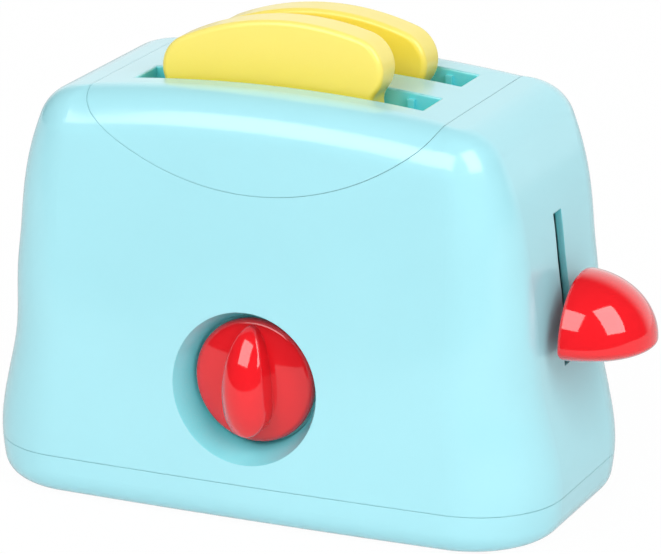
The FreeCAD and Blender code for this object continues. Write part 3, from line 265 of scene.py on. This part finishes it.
def grain(tree, shader, scale, strength, edge):
    """Fine grain, with edges softened by a radius."""
    bevel = tree.nodes.new("ShaderNodeBevel")
    bevel.samples = EDGE_SAMPLES
    bevel.inputs["Radius"].default_value = edge
    bump = tree.nodes.new("ShaderNodeBump")
    bump.inputs["Strength"].default_value = strength
    bump.inputs["Distance"].default_value = GRAIN_DEPTH
    tree.links.new(noise(tree, scale, GRAIN_DETAIL), bump.inputs["Height"])
    tree.links.new(bevel.outputs["Normal"], bump.inputs["Normal"])
    tree.links.new(bump.outputs["Normal"], shader.inputs["Normal"])


def plastic(name, colour, rough, edge, grain_strength, drift, polish=1.0, skin=0.04, painted_shade=None,
            alone=False):
    """Moulded plastic: colour drift, painted shade in hollows, uneven gloss, fine grain, soft edges, polished
    skin.
    """
    material, tree, shader = new_material(name)
    mottle_and_painted_shade(tree, shader, colour, drift, DRIFT_SCALE, painted_shade, alone)
    tree.links.new(spread(tree, noise(tree, GLOSS_SCALE), NOISE_SPAN, rough), shader.inputs["Roughness"])
    grain(tree, shader, GRAIN_SCALE, grain_strength, edge)
    shader.inputs["Coat Weight"].default_value = polish
    shader.inputs["Coat Roughness"].default_value = skin
    shader.inputs["IOR"].default_value = PLASTIC_IOR
    return material


def drawn_steel(name, colour, rough, edge, grain_strength, drift):
    """Bare drawn steel: finely mottled, with uneven gloss, fine grain and soft edges."""
    material, tree, shader = new_material(name)
    mottle_and_painted_shade(tree, shader, colour, drift, STEEL_DRIFT_SCALE)
    tree.links.new(spread(tree, noise(tree, STEEL_GLOSS_SCALE), NOISE_SPAN, rough),
                   shader.inputs["Roughness"])
    grain(tree, shader, STEEL_GRAIN_SCALE, grain_strength, edge)
    shader.inputs["Metallic"].default_value = 1.0
    return material


def floor_material(studio):
    """White floor that keeps a soft shadow; gloss sees it white as far as the table's front edge."""
    material, tree, shader = new_material("floor")
    shader.inputs["Base Color"].default_value = FLOOR_COLOUR
    shader.inputs["Roughness"].default_value = FLOOR_ROUGHNESS
    shader.inputs["Specular IOR Level"].default_value = FLOOR_SPECULAR
    glow = tree.nodes.new("ShaderNodeEmission")
    glow.inputs["Color"].default_value = WHITE
    edge = (studio.table_front - TABLE_EDGE_SOFTNESS, studio.table_front + TABLE_EDGE_SOFTNESS)
    mirrored = spread(tree, depth_coordinate(tree, "Object"), edge,
                      (studio.mirror_dark, studio.mirror_light), "SMOOTHSTEP")
    tree.links.new(by_ray(tree, 0.0, mirrored, 1.0), glow.inputs["Strength"])
    mix = tree.nodes.new("ShaderNodeMixShader")
    tree.links.new(by_ray(tree, 0.0, 1.0, FLOOR_GLOW_SHARE), mix.inputs["Fac"])
    tree.links.new(shader.outputs["BSDF"], mix.inputs[1])
    tree.links.new(glow.outputs["Emission"], mix.inputs[2])
    tree.links.new(mix.outputs["Shader"], tree.nodes["Material Output"].inputs["Surface"])
    return material


def dress(nodes, material):
    """Give nodes of the frame their finish."""
    for node in nodes:
        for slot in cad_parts[node].material_slots:
            slot.material = material


# ---------------------------------------------------------------- lever knob


def mesh_piece(name, points, faces, material, body):
    """Smooth mesh piece that rides on a body."""
    mesh = bpy.data.meshes.new(name)
    mesh.from_pydata(points, [], faces)
    build = bmesh.new()
    build.from_mesh(mesh)
    bmesh.ops.remove_doubles(build, verts=build.verts, dist=WELD_DISTANCE)
    bmesh.ops.recalc_face_normals(build, faces=build.faces)
    build.to_mesh(mesh)
    build.free()
    mesh.shade_smooth()
    piece = bpy.data.objects.new(name, mesh)
    bpy.context.collection.objects.link(piece)
    piece.data.materials.append(material)
    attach(piece, body)
    return piece


def ring_faces(rings, count):
    """Quads between rings of equal count."""
    faces = []
    for ring in range(rings - 1):
        for step in range(count):
            after = (step + 1) % count
            faces.append((ring * count + step, ring * count + after,
                          (ring + 1) * count + after, (ring + 1) * count + step))
    return faces


def knob_ring(middle, half_width, rise, reach, steps, along, inset):
    """One outline of the knob at a distance from its flat face, drawn in by an inset."""
    share = math.sqrt(max(1.0 - (along / reach) ** 2, 0.0))
    ring = []
    for step in range(steps):
        turn = 2 * math.pi * step / steps
        height = rise if math.sin(turn) > 0 else KNOB_DROP
        across = max(half_width * share - inset, 0.0) * math.cos(turn)
        keep = max(1.0 - inset / (half_width * share), 0.0) if height == rise else 1.0 - inset / half_width
        ring.append(middle + Vector((along, across, height * share * keep * math.sin(turn))))
    return ring


def knob_profile(rim, reach):
    """Distances from the flat face, each with its inset: the flat face, the rounded rim and the dome."""
    profile = [(0.0, inset * rim) for inset in FLAT_INSETS]
    for step in range(RIM_STEPS + 1):
        turn = math.pi / 2 * step / RIM_STEPS
        profile.append((rim * (1 - math.cos(turn)), rim * (1 - math.sin(turn))))
    for step in range(1, DOME_STEPS):
        turn = math.pi / 2 * step / DOME_STEPS
        profile.append((rim + (reach - rim) * math.sin(turn), 0.0))
    return profile


def knob_mesh(steps, rim):
    """Half-round knob: flat face towards the wall, rounded rim, dome above and shallow belly below."""
    low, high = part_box("lever_knob")
    half_width = (high.y - low.y) / 2
    reach = high.x - low.x
    middle = Vector((low.x, (low.y + high.y) / 2, low.z + KNOB_DROP))
    rise = high.z - middle.z
    profile = knob_profile(rim, reach)
    points = []
    for along, inset in profile:
        points += knob_ring(middle, half_width, rise, reach, steps, along, inset)
    faces = ring_faces(len(profile), steps)
    last = len(points) - steps
    points.append(middle + Vector((reach, 0, 0)))
    faces += [(last + step, last + (step + 1) % steps, len(points) - 1) for step in range(steps)]
    faces.append(tuple(range(steps)))
    return points, faces


# ---------------------------------------------------------------- studio


def direction(azimuth, elevation):
    """Unit vector from the toaster, azimuth from the front towards +X."""
    return Vector((math.sin(azimuth) * math.cos(elevation), -math.cos(azimuth) * math.cos(elevation),
                   math.sin(elevation)))


def aim(item, where, target):
    """Put a camera or a light at a point, looking at another."""
    item.location = where
    item.rotation_mode = "QUATERNION"
    item.rotation_quaternion = (target - where).to_track_quat("-Z", "Y")


def add_camera(studio):
    """Camera on the toaster."""
    camera = bpy.data.objects.new("camera", bpy.data.cameras.new("camera"))
    bpy.context.collection.objects.link(camera)
    camera.data.sensor_width = SENSOR_WIDTH
    camera.data.lens = studio.lens
    camera.data.shift_x = studio.shift_x
    camera.data.shift_y = studio.shift_y
    camera.data.clip_start = CLIP_START
    camera.data.clip_end = CLIP_END
    target = Vector((0, 0, studio.target_height))
    back = direction(studio.camera_azimuth, studio.camera_elevation)
    aim(camera, target + back * studio.camera_distance, target)
    bpy.context.scene.camera = camera


def add_softbox(name, power, azimuth, elevation, width, height, mirrored=True):
    """Rectangular area light, at angles in degrees. One that is not mirrored shows in no reflection."""
    light = bpy.data.lights.new(name, "AREA")
    light.shape = "RECTANGLE"
    light.size = width
    light.size_y = height
    light.energy = power
    lamp = bpy.data.objects.new(name, light)
    lamp.visible_glossy = mirrored
    bpy.context.collection.objects.link(lamp)
    away = direction(math.radians(azimuth), math.radians(elevation))
    aim(lamp, LAMP_TARGET + away * LAMP_DISTANCE, LAMP_TARGET)


def add_room(studio):
    """Even light all round; white where the camera sees it, and dark to the front where gloss does."""
    world = bpy.data.worlds.new("room")
    bpy.context.scene.world = world
    world.use_nodes = True
    tree = world.node_tree
    background = tree.nodes["Background"]
    background.inputs["Color"].default_value = WHITE
    mirrored = spread(tree, depth_coordinate(tree, "Generated"), DARK_SIDE_SPAN,
                      (studio.mirror_dark, studio.mirror_room), "SMOOTHSTEP")
    tree.links.new(by_ray(tree, studio.room_light, mirrored, 1.0), background.inputs["Strength"])


def add_floor(studio):
    """Square floor under the toaster."""
    mesh = bpy.data.meshes.new("floor")
    corners = [(-FLOOR_REACH, -FLOOR_REACH, 0), (FLOOR_REACH, -FLOOR_REACH, 0),
               (FLOOR_REACH, FLOOR_REACH, 0), (-FLOOR_REACH, FLOOR_REACH, 0)]
    mesh.from_pydata(corners, [], [(0, 1, 2, 3)])
    floor = bpy.data.objects.new("floor", mesh)
    bpy.context.collection.objects.link(floor)
    floor.data.materials.append(floor_material(studio))


# ---------------------------------------------------------------- operators


class TOASTER_OT_housing(bpy.types.Operator):
    """Finish the three turquoise mouldings"""

    bl_idname = "toaster.housing"
    bl_label = "Housing"

    def execute(self, context):
        colours = context.scene.toaster_colours
        # The hollow tone is painted shade, laid in the moulding's own recess, slots and seams by ambient
        # occlusion.
        finish = plastic("turquoise_gloss", tuple(colours.shell), rough=(0.18, 0.24),
                         edge=0.45 * MILLIMETRE, grain_strength=0.015, drift=0.03, polish=0.6, skin=0.11,
                         painted_shade=tuple(colours.painted_shade), alone=True)
        dress(("main_shell", "top_panel", "base_tray"), finish)
        return {"FINISHED"}


class TOASTER_OT_dial(bpy.types.Operator):
    """Finish the red dial"""

    bl_idname = "toaster.dial"
    bl_label = "Dial"

    def execute(self, context):
        finish = plastic("red_gloss", tuple(context.scene.toaster_colours.red), rough=(0.05, 0.09),
                         edge=0.4 * MILLIMETRE, grain_strength=0.01, drift=0.04)
        dress(("dial",), finish)
        return {"FINISHED"}


class TOASTER_OT_lever(bpy.types.Operator):
    """Model the lever knob with its rounded rim, in the dial's finish"""

    bl_idname = "toaster.lever"
    bl_label = "Lever knob"

    def execute(self, context):
        sizes = context.scene.toaster_sizes
        finish = bpy.data.materials["red_gloss"]
        points, faces = knob_mesh(sizes.knob_steps, sizes.knob_rim)
        knob = mesh_piece("rounded_knob", points, faces, finish, "carriage_unit")
        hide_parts("lever_knob")
        return {"FINISHED"}


class TOASTER_OT_bread(bpy.types.Operator):
    """Finish the two slices"""

    bl_idname = "toaster.bread"
    bl_label = "Bread"

    def execute(self, context):
        colours = context.scene.toaster_colours
        # The deeper yellow is painted shade, laid by ambient occlusion where the slices and the housing shade
        # them.
        finish = plastic("bread_satin", tuple(colours.bread), rough=(0.28, 0.36), edge=0.3 * MILLIMETRE,
                         grain_strength=0.06, drift=0.05, polish=0.4, painted_shade=tuple(colours.bread_painted_shade))
        dress(("bread_front", "bread_rear"), finish)
        return {"FINISHED"}


class TOASTER_OT_mechanism(bpy.types.Operator):
    """Finish what is inside: chassis, carriage, cam, posts, springs, leaves and screws"""

    bl_idname = "toaster.mechanism"
    bl_label = "Mechanism"

    def execute(self, context):
        colours = context.scene.toaster_colours
        inner = plastic("grey_satin", tuple(colours.inner), rough=(0.38, 0.52), edge=0.3 * MILLIMETRE,
                        grain_strength=0.12, drift=0.05, polish=0.0)
        dress(("chassis", "carriage", "dial_cam"), inner)
        steel = drawn_steel("drawn_steel", tuple(colours.steel), rough=(0.22, 0.42),
                            edge=0.15 * MILLIMETRE, grain_strength=0.15, drift=0.18)
        dress(("base_screws", "chassis_screws", "post_screws", "leaf_screws", "latch_finger", "drag_leaf",
               "guide_post_left", "guide_post_right", "lift_spring_left", "lift_spring_right", "lever_arm",
               "lever_pins", "dial_screw"), steel)
        return {"FINISHED"}


class TOASTER_OT_stage(bpy.types.Operator):
    """Build the floor, the lights and the camera"""

    bl_idname = "toaster.stage"
    bl_label = "Studio"

    def execute(self, context):
        studio = context.scene.toaster_studio
        add_floor(studio)
        add_softbox("front_softbox", studio.front_power, azimuth=-13, elevation=38.5, width=1.58, height=1.19)
        add_softbox("side_softbox", studio.side_power, azimuth=65, elevation=38, width=1.12, height=1.63)
        add_softbox("rear_softbox", studio.rear_power, azimuth=215, elevation=25, width=1.2, height=1.0,
                    mirrored=False)
        add_room(studio)
        add_camera(studio)
        context.scene.view_settings.view_transform = "Standard"
        return {"FINISHED"}


class TOASTER_PT_panel(bpy.types.Panel):
    """Sidebar panel of the toaster"""

    bl_label = "Toy Toaster"
    bl_idname = "TOASTER_PT_panel"
    bl_space_type = "VIEW_3D"
    bl_region_type = "UI"
    bl_category = "Toaster"

    def draw(self, context):
        layout = self.layout
        for settings in SETTINGS:
            group = getattr(context.scene, settings)
            column = layout.column()
            for name in group.__annotations__:
                column.prop(group, name)
        for operator in OPERATORS:
            layout.operator(operator.bl_idname)


SETTINGS = {"toaster_colours": ToasterColours, "toaster_sizes": ToasterSizes,
            "toaster_studio": StudioSettings}
OPERATORS = (TOASTER_OT_housing, TOASTER_OT_dial, TOASTER_OT_lever, TOASTER_OT_bread, TOASTER_OT_mechanism,
             TOASTER_OT_stage)
CLASSES = tuple(SETTINGS.values()) + OPERATORS + (TOASTER_PT_panel,)


def register():
    """Add the classes and the settings."""
    for item in CLASSES:
        bpy.utils.register_class(item)
    for name, group in SETTINGS.items():
        setattr(bpy.types.Scene, name, PointerProperty(type=group))


def unregister():
    """Take them away again."""
    for name in SETTINGS:
        delattr(bpy.types.Scene, name)
    for item in reversed(CLASSES):
        bpy.utils.unregister_class(item)


def main():
    """Dress the whole toaster."""
    register()
    for operator in OPERATORS:
        family, name = operator.bl_idname.split(".")
        getattr(getattr(bpy.ops, family), name)()


if __name__ == "__main__":
    main()
